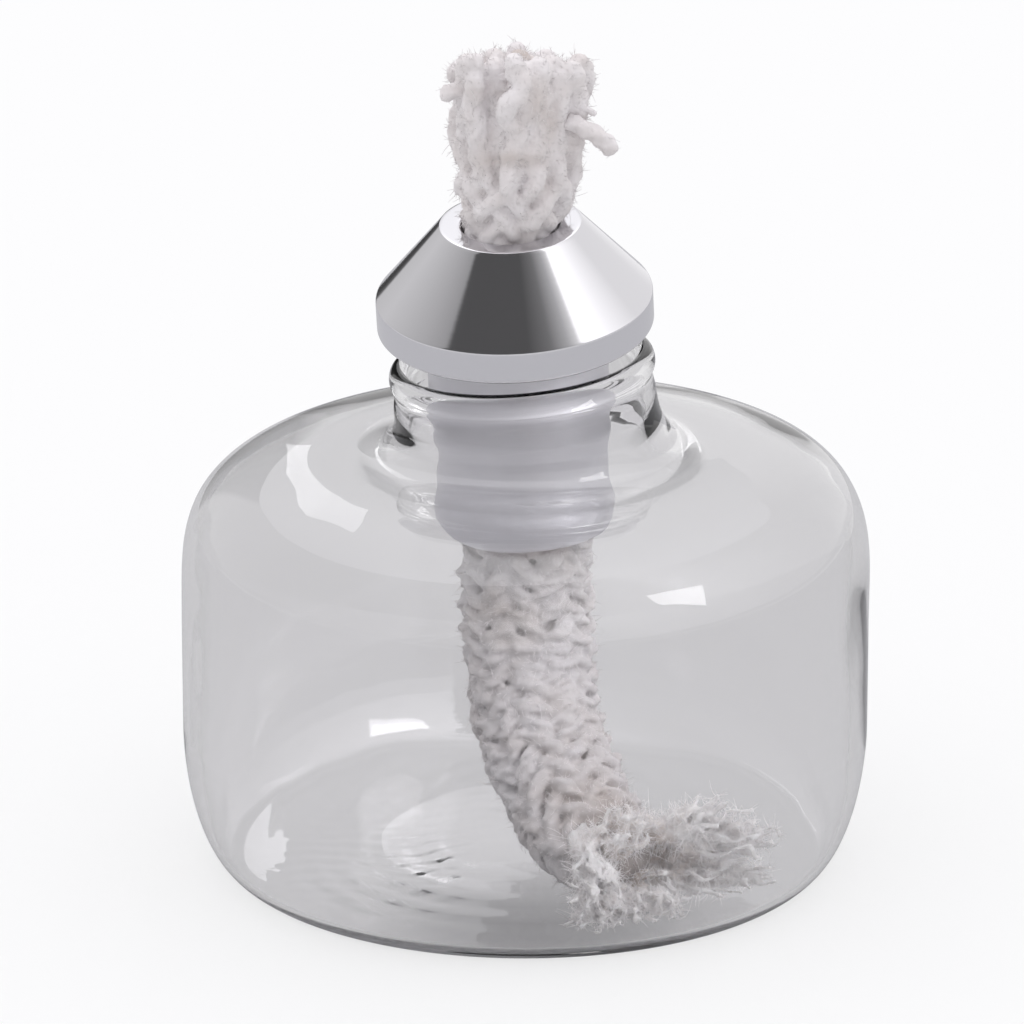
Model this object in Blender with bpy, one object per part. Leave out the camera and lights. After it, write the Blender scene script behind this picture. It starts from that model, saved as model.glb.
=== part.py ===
"""Small glass spirit lamp: a squat blown-glass reservoir, a loose turned-aluminium wick
holder that stands askew in its neck, and a thick braided cotton wick with a frayed tuft.

Metres, +Z up.  The origin is the middle of the foot, on the plane the lamp stands on,
and +Z is the reservoir's axis.  -Y is the front.
"""

import math

import bmesh
import bpy
from mathutils import Matrix, Vector

# ---------------------------------------------------------------- reservoir
BODY_R = 0.0375            # outer radius of the squat body
FOOT_R_IN = 0.0220         # flat ring that it stands on
FOOT_KICK = 0.0010         # how far the middle of the foot is pushed up
HEEL_A = 0.00538           # heel: radial size, height and fullness
HEEL_B = 0.01502
HEEL_N = 1.88
HEEL_IN_A = 0.0039         # radial size of the heel on the inside
WALL_TOP = 0.03047         # where the straight wall turns into the shoulder
SHOULDER_A = 0.02031       # shoulder: radial size, height and fullness
SHOULDER_B = 0.01597
SHOULDER_N = 3.19
WALL = 0.0017              # glass thickness in the wall
FLOOR = 0.0016             # glass thickness in the floor
NECK_R = 0.0141            # outer radius of the neck under the bead
NECK_BORE_R = 0.0124       # inner radius of the neck
BEAD_R = 0.01445           # fire-polished bead round the mouth
RIM_Z = 0.0570             # top of the bead
NECK_LEAN = math.radians(5.0)      # the blown neck leans a little to the left
SHOULDER_LEAN = math.radians(0.7)  # and the shoulder follows it slightly
NECK_SHIFT = 0.0005
GLASS_SIDES = 56

# ------------------------------------------------------------------- holder
HOLDER_AT = Vector((-0.00123, -0.0008, 0.0650))   # middle of the flange's upper edge
HOLDER_ROLL = math.radians(2.8)    # right side up
HOLDER_PITCH = math.radians(8.8)   # tipped forwards
TOP_R = 0.00765            # flat ring at the top of the cone
HOLE_R = 0.00535           # wick hole in it
CONE_H = 0.00767
FLANGE_R = 0.01495
FLANGE_H = 0.00425
SLEEVE_R = 0.0098          # sleeve that hangs in the neck
SLEEVE_BORE_R = 0.0083
SLEEVE_L = 0.0228          # below the flange
HOLDER_SIDES = 48

# --------------------------------------------------------------------- wick
WICK_R = 0.0069            # free braided rope
CORE_R = 0.0050            # where the holder grips it
GAP = 0.0003
TAIL_END_R = 0.0074
TAIL_PATH = [              # middle of the rope below the sleeve
    (0.00010, 0.0033, 0.0335),
    (0.00020, 0.0029, 0.0275),
    (0.00050, 0.0016, 0.0215),
    (0.00150, -0.0018, 0.0160),
    (0.00400, -0.0080, 0.0118),
    (0.00760, -0.0142, 0.0101),
    (0.01150, -0.0195, 0.0098),
]
TUFT_RISE = 0.0208         # tuft height above the top of the cone
TUFT_SHAPE = [             # share of the rise, radius, offset in x
    (0.000, 0.0050, 0.0000),
    (0.040, 0.0058, 0.0000),
    (0.160, 0.0066, 0.0005),
    (0.340, 0.0072, 0.0010),
    (0.560, 0.0073, 0.0012),
    (0.760, 0.0071, 0.0014),
    (0.900, 0.0064, 0.0014),
    (1.000, 0.0044, 0.0014),
]


def clear_scene():
    for obj in list(bpy.data.objects):
        bpy.data.objects.remove(obj, do_unlink=True)
    for mesh in list(bpy.data.meshes):
        bpy.data.meshes.remove(mesh)


def material(name, colour, roughness, metallic, transmission=0.0, ior=1.5):
    mat = bpy.data.materials.new(name)
    mat.use_nodes = True
    shader = mat.node_tree.nodes["Principled BSDF"]
    shader.inputs["Base Color"].default_value = (*colour, 1.0)
    shader.inputs["Roughness"].default_value = roughness
    shader.inputs["Metallic"].default_value = metallic
    shader.inputs["Transmission Weight"].default_value = transmission
    shader.inputs["IOR"].default_value = ior
    mat.diffuse_color = (*colour, 1.0)
    return mat


def smoothstep(x, lo, hi):
    t = min(1.0, max(0.0, (x - lo) / (hi - lo)))
    return t * t * (3 - 2 * t)


def corner(r0, z0, a, b, n, steps, rising):
    """Quarter of a superellipse of half sizes a and b: the heel if rising, else the shoulder."""
    points = []
    for k in range(steps + 1):
        t = 0.5 * math.pi * k / steps
        s, c = math.sin(t) ** (2 / n), math.cos(t) ** (2 / n)
        points.append((r0 + a * s, z0 + b - b * c) if rising else (r0 + a * c, z0 + b * s))
    return points


def solid_of_revolution(name, profile, sides, mat, lean=None):
    """A closed body turned round Z from a profile that either starts and ends on the axis or is a ring."""
    bm = bmesh.new()
    on_axis = profile[0][0] < 1e-9
    rings = []
    for r, z in profile:
        if r < 1e-9:
            rings.append([bm.verts.new((0.0, 0.0, z))])
        else:
            rings.append(
                [
                    bm.verts.new((r * math.cos(2 * math.pi * k / sides), r * math.sin(2 * math.pi * k / sides), z))
                    for k in range(sides)
                ]
            )
    pairs = list(zip(rings, rings[1:]))
    if not on_axis:
        pairs.append((rings[-1], rings[0]))
    for lower, upper in pairs:
        for k in range(sides):
            j = (k + 1) % sides
            if len(lower) == 1:
                bm.faces.new((lower[0], upper[j], upper[k]))
            elif len(upper) == 1:
                bm.faces.new((lower[k], lower[j], upper[0]))
            else:
                bm.faces.new((lower[k], lower[j], upper[j], upper[k]))
    if lean:
        for v in bm.verts:
            v.co = lean(v.co)
    bmesh.ops.recalc_face_normals(bm, faces=bm.faces)
    mesh = bpy.data.meshes.new(name)
    bm.to_mesh(mesh)
    bm.free()
    for polygon in mesh.polygons:
        polygon.use_smooth = True
    mesh.set_sharp_from_angle(angle=math.radians(35))
    mesh.materials.append(mat)
    obj = bpy.data.objects.new(name, mesh)
    bpy.context.scene.collection.objects.link(obj)
    return obj


def neck_lean(co):
    """The hand-blown lean: the shoulder tips slightly and the neck more, pivoting low in the neck."""
    pivot = 0.046
    angle = SHOULDER_LEAN * smoothstep(co.z, 0.026, 0.043) + (NECK_LEAN - SHOULDER_LEAN) * smoothstep(co.z, 0.0455, 0.0525)
    shift = NECK_SHIFT * smoothstep(co.z, 0.040, 0.048)
    s, c = math.sin(angle), math.cos(angle)
    return Vector((co.x * c - (co.z - pivot) * s + shift, co.y, pivot + co.x * s + (co.z - pivot) * c))


def reservoir_profile():
    outside = [(0.0, FOOT_KICK), (0.010, FOOT_KICK * 0.9), (0.017, FOOT_KICK * 0.45), (FOOT_R_IN, 0.0)]
    outside += corner(BODY_R - HEEL_A, 0.0, HEEL_A, HEEL_B, HEEL_N, 7, True)
    outside += [(BODY_R, 0.5 * (HEEL_B + WALL_TOP))]
    outside += corner(BODY_R - SHOULDER_A, WALL_TOP, SHOULDER_A, SHOULDER_B, SHOULDER_N, 8, False)
    top = outside[-1][1]
    outside += [
        (0.0166, top + 0.0006),
        (0.0155, top + 0.0017),
        (0.0147, top + 0.0032),
        (0.0143, top + 0.0050),
        (NECK_R, RIM_Z - 0.0038),
        (NECK_R, RIM_Z - 0.0028),
        (BEAD_R, RIM_Z - 0.0020),
        (BEAD_R, RIM_Z - 0.0010),
        (NECK_R - 0.0001, RIM_Z - 0.0002),
        (0.0134, RIM_Z),
        (0.0127, RIM_Z - 0.0004),
        (NECK_BORE_R, RIM_Z - 0.0014),
    ]
    inside = [(NECK_BORE_R + 0.0004, top + 0.0040), (NECK_BORE_R + 0.0010, top + 0.0014), (0.0150, top - 0.0008)]
    shoulder = corner(BODY_R - SHOULDER_A, WALL_TOP, SHOULDER_A - WALL, SHOULDER_B - WALL, SHOULDER_N, 7, False)
    inside += shoulder[::-1]
    inside += [(BODY_R - WALL, 0.5 * (HEEL_B + WALL_TOP) + 0.001)]
    heel = corner(BODY_R - WALL - HEEL_IN_A, FLOOR, HEEL_IN_A, HEEL_B - 0.0012, HEEL_N, 6, True)
    inside += heel[::-1]
    inside += [(0.0150, FLOOR + 0.0004), (0.0, FLOOR + 0.0010)]
    return outside + inside


def holder_profile():
    return [
        (HOLE_R, CONE_H - 0.0004),
        (HOLE_R + 0.0003, CONE_H),
        (TOP_R - 0.00015, CONE_H),
        (TOP_R + 0.0001, CONE_H - 0.0002),
        (FLANGE_R - 0.0011, 0.0009),
        (FLANGE_R - 0.0003, -0.0001),
        (FLANGE_R, -0.0008),
        (FLANGE_R, -FLANGE_H + 0.0006),
        (FLANGE_R - 0.0004, -FLANGE_H),
        (SLEEVE_R, -FLANGE_H),
        (SLEEVE_R, -FLANGE_H - SLEEVE_L + 0.0004),
        (SLEEVE_R - 0.0003, -FLANGE_H - SLEEVE_L),
        (SLEEVE_BORE_R, -FLANGE_H - SLEEVE_L),
        (SLEEVE_BORE_R, -0.0040),
        (HOLE_R, 0.0010),
    ]


def rope(name, points, radii, mat, bevel):
    curve = bpy.data.curves.new(name, "CURVE")
    curve.dimensions = "3D"
    curve.bevel_depth = 1.0
    curve.bevel_resolution = bevel
    curve.use_fill_caps = True
    curve.resolution_u = 1
    spline = curve.splines.new("POLY")
    spline.points.add(len(points) - 1)
    for point, at, radius in zip(spline.points, points, radii):
        point.co = (*at, 1.0)
        point.radius = radius
    spline.use_smooth = True
    curve.materials.append(mat)
    obj = bpy.data.objects.new(name, curve)
    bpy.context.scene.collection.objects.link(obj)
    return obj


def main():
    clear_scene()
    scene = bpy.context.scene
    scene.unit_settings.system = "METRIC"
    scene.unit_settings.scale_length = 1.0

    glass = material("clear_glass", (0.93, 0.94, 0.95), 0.02, 0.0, 1.0, 1.47)
    aluminium = material("turned_aluminium", (0.80, 0.80, 0.82), 0.28, 1.0)
    cotton = material("cotton_wick", (0.84, 0.82, 0.80), 0.95, 0.0)

    solid_of_revolution("glass_reservoir", reservoir_profile(), GLASS_SIDES, glass, neck_lean)

    tip = Matrix.Rotation(-HOLDER_ROLL, 4, "Y") @ Matrix.Rotation(HOLDER_PITCH, 4, "X")
    place = Matrix.Translation(HOLDER_AT) @ tip
    holder = solid_of_revolution("burner_holder", holder_profile(), HOLDER_SIDES, aluminium)
    holder.matrix_world = place

    def inside_holder(z, x=0.0):
        return place @ Vector((x, 0.0, z))

    # The wick is one rope. Its three lengths are named apart: tuft, gripped length and free tail.
    mouth = CONE_H
    foot = -FLANGE_H - SLEEVE_L
    rope(
        "wick_core",
        [inside_holder(foot + 0.0010), inside_holder(0.5 * (foot + mouth)), inside_holder(mouth)],
        [CORE_R] * 3,
        cotton,
        2,
    )
    base = inside_holder(mouth + GAP)
    rise = TUFT_RISE
    tuft = []
    axis = (inside_holder(mouth + 0.01) - inside_holder(mouth)).normalized()
    up = Vector((-0.01, -0.05, 1.0)).normalized()
    for share, _, side in TUFT_SHAPE:
        direction = axis.lerp(up, 0.6 * smoothstep(share, 0.05, 0.4)).normalized()
        tuft.append(base + direction * (rise * share) + Vector((side, 0.0, 0.0)))
    rope("wick_tuft", tuft, [r for _, r, _ in TUFT_SHAPE], cotton, 3)

    start = inside_holder(foot + 0.0010 - GAP)
    below = inside_holder(foot - 0.0014)
    path = [start, below] + [Vector(p) for p in TAIL_PATH]
    radii = [CORE_R, WICK_R - 0.0004] + [WICK_R] * (len(TAIL_PATH) - 1) + [TAIL_END_R]
    rope("wick_tail", path, radii, cotton, 3)


main()
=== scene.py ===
import math

import bpy
import numpy as np
from mathutils import Matrix, Vector


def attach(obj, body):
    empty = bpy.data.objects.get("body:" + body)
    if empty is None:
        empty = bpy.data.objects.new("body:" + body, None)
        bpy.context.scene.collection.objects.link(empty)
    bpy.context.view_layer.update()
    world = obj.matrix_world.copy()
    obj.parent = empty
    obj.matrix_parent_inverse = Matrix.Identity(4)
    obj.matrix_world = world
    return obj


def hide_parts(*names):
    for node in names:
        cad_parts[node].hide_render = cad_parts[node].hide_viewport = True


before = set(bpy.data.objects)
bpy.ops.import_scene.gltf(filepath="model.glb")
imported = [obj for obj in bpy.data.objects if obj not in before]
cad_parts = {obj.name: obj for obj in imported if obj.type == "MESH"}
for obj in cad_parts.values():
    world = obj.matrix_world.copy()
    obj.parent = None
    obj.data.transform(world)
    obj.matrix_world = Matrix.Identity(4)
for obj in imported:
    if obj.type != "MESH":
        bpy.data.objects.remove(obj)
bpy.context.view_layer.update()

rng = np.random.default_rng(265)
scene = bpy.context.scene
MM = 0.001
LEAN_PIVOT = 46.0


# ------------------------------------------------------------------ helpers
def link(name, verts, faces, mat, smooth=True):
    mesh = bpy.data.meshes.new(name)
    mesh.from_pydata([tuple(v) for v in np.asarray(verts, float).tolist()], [], [tuple(f) for f in faces])
    mesh.update()
    if smooth:
        mesh.polygons.foreach_set("use_smooth", [True] * len(mesh.polygons))
    mesh.materials.append(mat)
    obj = bpy.data.objects.new(name, mesh)
    scene.collection.objects.link(obj)
    return obj


def ring_mesh(profile, sides, closed):
    """Vertices and quads of a profile turned round Z; a profile with both ends on the axis is capped there."""
    profile = np.asarray(profile, float)
    th = np.linspace(0, 2 * np.pi, sides, endpoint=False)
    verts, start = [], []
    for r, z in profile:
        start.append((len(verts), r < 1e-9))
        if r < 1e-9:
            verts.append((0.0, 0.0, z))
        else:
            verts.extend(zip((r * np.cos(th)).tolist(), (r * np.sin(th)).tolist(), [z] * sides))
    faces = []
    pairs = list(zip(start, start[1:]))
    if closed:
        pairs.append((start[-1], start[0]))
    for (a, pa), (b, pb) in pairs:
        for k in range(sides):
            j = (k + 1) % sides
            if pa:
                faces.append((a, b + j, b + k))
            elif pb:
                faces.append((a + k, a + j, b))
            else:
                faces.append((a + k, a + j, b + j, b + k))
    return np.array(verts, float), faces


def smoothstep(x, lo, hi):
    t = np.clip((np.asarray(x, float) - lo) / (hi - lo), 0, 1)
    return t * t * (3 - 2 * t)


def resample(points, step):
    """Points spaced evenly along a polyline, about step apart."""
    p = np.asarray(points, float)
    d = np.r_[0, np.cumsum(np.linalg.norm(np.diff(p, axis=0), axis=1))]
    n = max(2, int(round(d[-1] / step)) + 1)
    s = np.linspace(0, d[-1], n)
    return np.stack([np.interp(s, d, p[:, k]) for k in range(p.shape[1])], 1)


def smooth_curve(points, per=24):
    """Catmull-Rom curve through the points."""
    p = np.asarray(points, float)
    p = np.vstack([2 * p[0] - p[1], p, 2 * p[-1] - p[-2]])
    out = []
    for i in range(1, len(p) - 2):
        t = np.linspace(0, 1, per, endpoint=False)[:, None]
        a, b, c, d = p[i - 1], p[i], p[i + 1], p[i + 2]
        out.append(0.5 * (2 * b + (c - a) * t + (2 * a - 5 * b + 4 * c - d) * t**2 + (3 * b - a - 3 * c + d) * t**3))
    out.append(p[-2][None])
    return np.vstack(out)


def frames_along(path):
    """Tangents and two steady normals along a path."""
    t = np.gradient(path, axis=0)
    t /= np.linalg.norm(t, axis=1)[:, None]
    n = np.zeros_like(path)
    v = np.array([1.0, 0, 0])
    for i in range(len(path)):
        v = v - t[i] * v.dot(t[i])
        v /= np.linalg.norm(v)
        n[i] = v
    return t, n, np.cross(t, n)


def tube(path, radius, sides=9, lobes=0, twist=0.0, depth=0.1, phase=0.0, caps=True, squash=None):
    """A closed tube round a path. radius is one number or one for each point; lobes and twist give it a plied look."""
    path = np.asarray(path, float)
    n = len(path)
    radius = np.broadcast_to(np.asarray(radius, float), (n,))
    t, a, b = frames_along(path)
    s = np.r_[0, np.cumsum(np.linalg.norm(np.diff(path, axis=0), axis=1))]
    ang = np.linspace(0, 2 * np.pi, sides, endpoint=False)
    grow = np.ones((n, sides))
    if lobes:
        grow = 1 + depth * (np.abs(np.cos(0.5 * (lobes * (ang[None] - twist * s[:, None]) + phase))) - 0.6)
    verts = (
        path[:, None]
        + a[:, None] * (radius[:, None] * grow * np.cos(ang))[..., None]
        + b[:, None] * (radius[:, None] * grow * np.sin(ang))[..., None]
    ).reshape(-1, 3)
    i = np.arange(n - 1)[:, None] * sides
    k = np.arange(sides)[None]
    j = (k + 1) % sides
    faces = np.stack([i + k, i + j, i + sides + j, i + sides + k], -1).reshape(-1, 4).tolist()
    if caps:
        verts = np.vstack([verts, path[0] - t[0] * radius[0] * 0.35, path[-1] + t[-1] * radius[-1] * 0.35])
        m = n * sides
        faces += [(m, (q + 1) % sides, q) for q in range(sides)]
        o = (n - 1) * sides
        faces += [(m + 1, o + q, o + (q + 1) % sides) for q in range(sides)]
    return verts, faces


class Heap:
    """Gathers meshes into one."""

    def __init__(self):
        self.verts, self.faces, self.count, self.tone = [], [], 0, []

    def add(self, verts, faces, tone=None):
        self.verts.append(verts)
        self.faces.extend([tuple(q + self.count for q in f) for f in faces])
        self.count += len(verts)
        self.tone.append(np.zeros(len(verts)) if tone is None else np.broadcast_to(tone, (len(verts),)))

    def skin(self, voxel, relax, rough, thick, stretch=1.0):
        """The same shapes as one soft, felted surface: its points, faces, shade and normals. rough is how uneven it is, in mm."""
        raw = link("felt", np.vstack(self.verts), self.faces, cotton)
        grown = raw.modifiers.new("merge", "REMESH")
        grown.mode, grown.voxel_size = "VOXEL", voxel
        soft = raw.modifiers.new("relax", "SMOOTH")
        soft.factor, soft.iterations = 0.5, relax
        mesh = bpy.data.meshes.new_from_object(raw.evaluated_get(bpy.context.evaluated_depsgraph_get()))
        bpy.data.objects.remove(raw)
        n = len(mesh.vertices)
        v, normal = np.empty(n * 3), np.empty(n * 3)
        mesh.vertices.foreach_get("co", v)
        mesh.vertices.foreach_get("normal", normal)
        v, normal = v.reshape(-1, 3), normal.reshape(-1, 3)
        long = v * np.array([1, 1, stretch])
        v = v + normal * (rough * lumps(long) + 0.4 * rough * lumps(long * 2.7))[:, None]
        # Painted shade: darker and browner deep among the yarns and in the tuft's cleft and crease; the lumps add
        # random unevenness of tone.
        shade = depth_shade(v, thick) + 0.05 * lumps(v * 0.45) + painted_cleft_shade(v)
        faces = [tuple(q.vertices) for q in mesh.polygons]
        bpy.data.meshes.remove(mesh)
        return v, faces, shade, normal

    def make(self, name, mat):
        obj = link(name, np.vstack(self.verts) * MM, self.faces, mat)
        layer = obj.data.attributes.new("shade", "FLOAT", "POINT")
        layer.data.foreach_set("value", np.concatenate(self.tone).astype(np.float32))
        return obj


# ---------------------------------------------------------------- materials
def new_material(name):
    mat = bpy.data.materials.new(name)
    mat.use_nodes = True
    tree = mat.node_tree
    return mat, tree, tree.nodes["Principled BSDF"]


def node(tree, kind, **values):
    made = tree.nodes.new(kind)
    for key, value in values.items():
        setattr(made, key, value)
    return made


def glass_material():
    mat, tree, bsdf = new_material("clear_glass")
    bsdf.inputs["Base Color"].default_value = (0.955, 0.95, 0.962, 1)
    bsdf.inputs["Roughness"].default_value = 0.0
    bsdf.inputs["IOR"].default_value = 1.48
    bsdf.inputs["Transmission Weight"].default_value = 1.0
    where = node(tree, "ShaderNodeTexCoord")
    noise = node(tree, "ShaderNodeTexNoise")
    noise.inputs["Scale"].default_value = 55.0
    noise.inputs["Detail"].default_value = 2.0
    tree.links.new(where.outputs["Object"], noise.inputs["Vector"])
    bump = node(tree, "ShaderNodeBump")
    bump.inputs["Strength"].default_value = 0.05
    bump.inputs["Distance"].default_value = 0.0006
    tree.links.new(noise.outputs["Fac"], bump.inputs["Height"])
    tree.links.new(bump.outputs["Normal"], bsdf.inputs["Normal"])
    return mat


def metal_material(name, colour, roughness):
    mat, tree, bsdf = new_material(name)
    bsdf.inputs["Base Color"].default_value = (*colour, 1)
    bsdf.inputs["Metallic"].default_value = 1.0
    bsdf.inputs["Roughness"].default_value = roughness
    bsdf.inputs["Anisotropic"].default_value = 0.6
    bsdf.inputs["Anisotropic Rotation"].default_value = 0.25
    where = node(tree, "ShaderNodeTexCoord")
    split = node(tree, "ShaderNodeSeparateXYZ")
    tree.links.new(where.outputs["Object"], split.inputs["Vector"])
    radius = node(tree, "ShaderNodeVectorMath", operation="LENGTH")
    flat = node(tree, "ShaderNodeCombineXYZ")
    tree.links.new(split.outputs["X"], flat.inputs["X"])
    tree.links.new(split.outputs["Y"], flat.inputs["Y"])
    tree.links.new(flat.outputs["Vector"], radius.inputs[0])
    turned = node(tree, "ShaderNodeCombineXYZ")
    tree.links.new(radius.outputs["Value"], turned.inputs["X"])
    tree.links.new(split.outputs["Z"], turned.inputs["Y"])
    lines = node(tree, "ShaderNodeTexNoise")
    lines.inputs["Scale"].default_value = 2600.0
    lines.inputs["Detail"].default_value = 3.0
    tree.links.new(turned.outputs["Vector"], lines.inputs["Vector"])
    bump = node(tree, "ShaderNodeBump")
    bump.inputs["Strength"].default_value = 0.07
    bump.inputs["Distance"].default_value = 0.00008
    tree.links.new(lines.outputs["Fac"], bump.inputs["Height"])
    tree.links.new(bump.outputs["Normal"], bsdf.inputs["Normal"])
    tangent = node(tree, "ShaderNodeTangent", direction_type="RADIAL", axis="Z")
    tree.links.new(tangent.outputs["Tangent"], bsdf.inputs["Tangent"])
    return mat


def cotton_material(name, pale, deep, sheen=0.25):
    mat, tree, bsdf = new_material(name)
    bsdf.inputs["Roughness"].default_value = 1.0
    bsdf.inputs["Specular IOR Level"].default_value = 0.1
    bsdf.inputs["Sheen Weight"].default_value = sheen
    bsdf.inputs["Sheen Roughness"].default_value = 0.6
    where = node(tree, "ShaderNodeTexCoord")
    noise = node(tree, "ShaderNodeTexNoise")
    noise.inputs["Scale"].default_value = 260.0
    noise.inputs["Detail"].default_value = 4.0
    tree.links.new(where.outputs["Object"], noise.inputs["Vector"])
    # The shade attribute, mostly painted shade, moves the colour from pale toward deep; the noise adds random
    # unevenness of tone.
    shade = node(tree, "ShaderNodeAttribute", attribute_name="shade")
    mixed = node(tree, "ShaderNodeMath", operation="MULTIPLY_ADD")
    tree.links.new(noise.outputs["Fac"], mixed.inputs[0])
    mixed.inputs[1].default_value = 0.5
    tree.links.new(shade.outputs["Fac"], mixed.inputs[2])
    ramp = node(tree, "ShaderNodeValToRGB")
    ramp.color_ramp.elements[0].position = 0.15
    ramp.color_ramp.elements[0].color = (*pale, 1)
    ramp.color_ramp.elements[1].position = 1.15
    ramp.color_ramp.elements[1].color = (*deep, 1)
    tree.links.new(mixed.outputs["Value"], ramp.inputs["Fac"])
    tree.links.new(ramp.outputs["Color"], bsdf.inputs["Base Color"])
    fine = node(tree, "ShaderNodeTexNoise")
    fine.inputs["Scale"].default_value = 2600.0
    fine.inputs["Detail"].default_value = 3.0
    tree.links.new(where.outputs["Object"], fine.inputs["Vector"])
    bump = node(tree, "ShaderNodeBump")
    bump.inputs["Strength"].default_value = 0.5
    bump.inputs["Distance"].default_value = 0.00015
    tree.links.new(fine.outputs["Fac"], bump.inputs["Height"])
    tree.links.new(bump.outputs["Normal"], bsdf.inputs["Normal"])
    return mat


glass = glass_material()
metal = metal_material("turned_aluminium", (0.80, 0.795, 0.82), 0.10)
# A shaded copy of the aluminium for the sleeve: its darker base colour is painted shade.
sleeve_metal_shaded = metal_material("sleeve_aluminium_shaded", (0.69, 0.685, 0.72), 0.34)
cotton = cotton_material("cotton_wick", (0.74, 0.71, 0.72), (0.42, 0.345, 0.30))
# Lit and shaded copies of the one cotton: the rope is painted darker than the tuft (painted shade), the frayed end and
# the fibres on it paler (painted light).
rope_cotton_shaded = cotton_material("cotton_rope", (0.56, 0.54, 0.55), (0.37, 0.315, 0.285))
frayed_cotton_lit = cotton_material("cotton_frayed", (0.95, 0.925, 0.92), (0.46, 0.35, 0.28))
frayed_cotton_lit.node_tree.nodes["Principled BSDF"].inputs["Subsurface Weight"].default_value = 0.9
frayed_cotton_lit.node_tree.nodes["Principled BSDF"].inputs["Subsurface Radius"].default_value = (1.0, 0.96, 0.93)
frayed_cotton_lit.node_tree.nodes["Principled BSDF"].inputs["Subsurface Scale"].default_value = 0.0022
rope_fibre_lit = cotton_material("cotton_rope_fibre", (0.93, 0.91, 0.915), (0.74, 0.70, 0.68), 0.0)
fibre = cotton_material("cotton_fibre", (0.74, 0.715, 0.72), (0.60, 0.56, 0.54), 0.0)


# -------------------------------------------------------------------- glass
def superellipse(r0, z0, a, b, n, rising, count=60):
    t = np.linspace(0, np.pi / 2, 400)
    s, c = np.sin(t) ** (2 / n), np.cos(t) ** (2 / n)
    pts = np.stack([r0 + a * s, z0 + b - b * c], 1) if rising else np.stack([r0 + a * c, z0 + b * s], 1)
    d = np.linalg.norm(np.diff(pts, axis=0), axis=1).sum()
    return resample(pts, d / count)


def outer_profile():
    r = np.linspace(0, 22, 14)
    kick = np.stack([r, 1.0 * (0.5 + 0.5 * np.cos(np.pi * r / 22))], 1)
    foot = np.array([[24.0, 0.0], [27.0, 0.0], [30.0, 0.0]])
    heel = superellipse(32.12, 0.0, 5.38, 15.02, 1.88, True, 34)
    wall = np.array([[37.5, z] for z in np.linspace(17, 29, 8)])
    shoulder = superellipse(17.19, 30.47, 20.31, 15.97, 3.19, False, 56)
    shoulder = shoulder[shoulder[:, 0] > 20.9]
    t = np.linspace(0.12, np.pi / 2, 20)
    fillet = np.stack([20.75 - 6.5 * np.sin(t) ** 0.77, 46.42 + 5.9 * (1 - np.cos(t) ** 0.77)], 1)
    neck = np.array([[14.17, 52.8], [14.08, 53.3], [14.03, 53.7]])
    t = np.linspace(-0.9, np.pi + 0.35, 26)
    bead = np.stack([13.4 + 1.05 * np.cos(t), 55.5 + 1.5 * np.sin(t)], 1)
    return np.vstack([kick, foot, heel, wall, shoulder, fillet, neck, bead])


def inner_profile():
    """From just inside the mouth down to the axis."""
    neck = np.array([[12.6, 54.0], [12.75, 53.0], [12.85, 52.0], [12.9, 51.2]])
    t = np.linspace(0.05, np.pi / 2 - 0.12, 20)
    fillet = np.stack([19.2 - 6.3 * np.cos(t) ** 0.77, 50.6 - 5.86 * np.sin(t) ** 0.77], 1)
    shoulder = superellipse(17.19, 30.47, 18.61, 14.27, 3.19, False, 50)[::-1]
    shoulder = shoulder[shoulder[:, 0] > 19.4]
    wall = np.array([[35.8, z] for z in np.linspace(29, 18, 7)])
    heel = superellipse(31.9, 1.35, 3.9, 13.9, 1.90, True, 34)[::-1]
    r = np.linspace(30.5, 0, 28)
    floor = np.stack([r, 1.35 + 0.15 * smoothstep(-r, -30, -22) + 0.8 * smoothstep(-r, -22, -2)], 1)
    return np.vstack([neck, fillet, shoulder, wall, heel, floor])


def lean(v):
    """The hand-blown lean of the shoulder and neck, as in the CAD."""
    z = v[:, 2]
    ang = np.radians(0.7) * smoothstep(z, 26, 43) + np.radians(4.3) * smoothstep(z, 45.5, 52.5)
    shift = 0.5 * smoothstep(z, 40, 48)
    s, c = np.sin(ang), np.cos(ang)
    x = v[:, 0] * c - (z - LEAN_PIVOT) * s + shift
    zz = LEAN_PIVOT + v[:, 0] * s + (z - LEAN_PIVOT) * c
    return np.stack([x, v[:, 1], zz], 1)


def waves(v, seed, terms, amp, low, high):
    """Smooth random swelling of hand-blown glass, in mm, for points v."""
    r = np.random.default_rng(seed)
    out = np.zeros(len(v))
    for _ in range(terms):
        k = r.normal(size=3)
        k *= r.uniform(low, high) / np.linalg.norm(k)
        out += np.cos(v @ k + r.uniform(0, 2 * np.pi))
    return amp * out / math.sqrt(terms)


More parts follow.
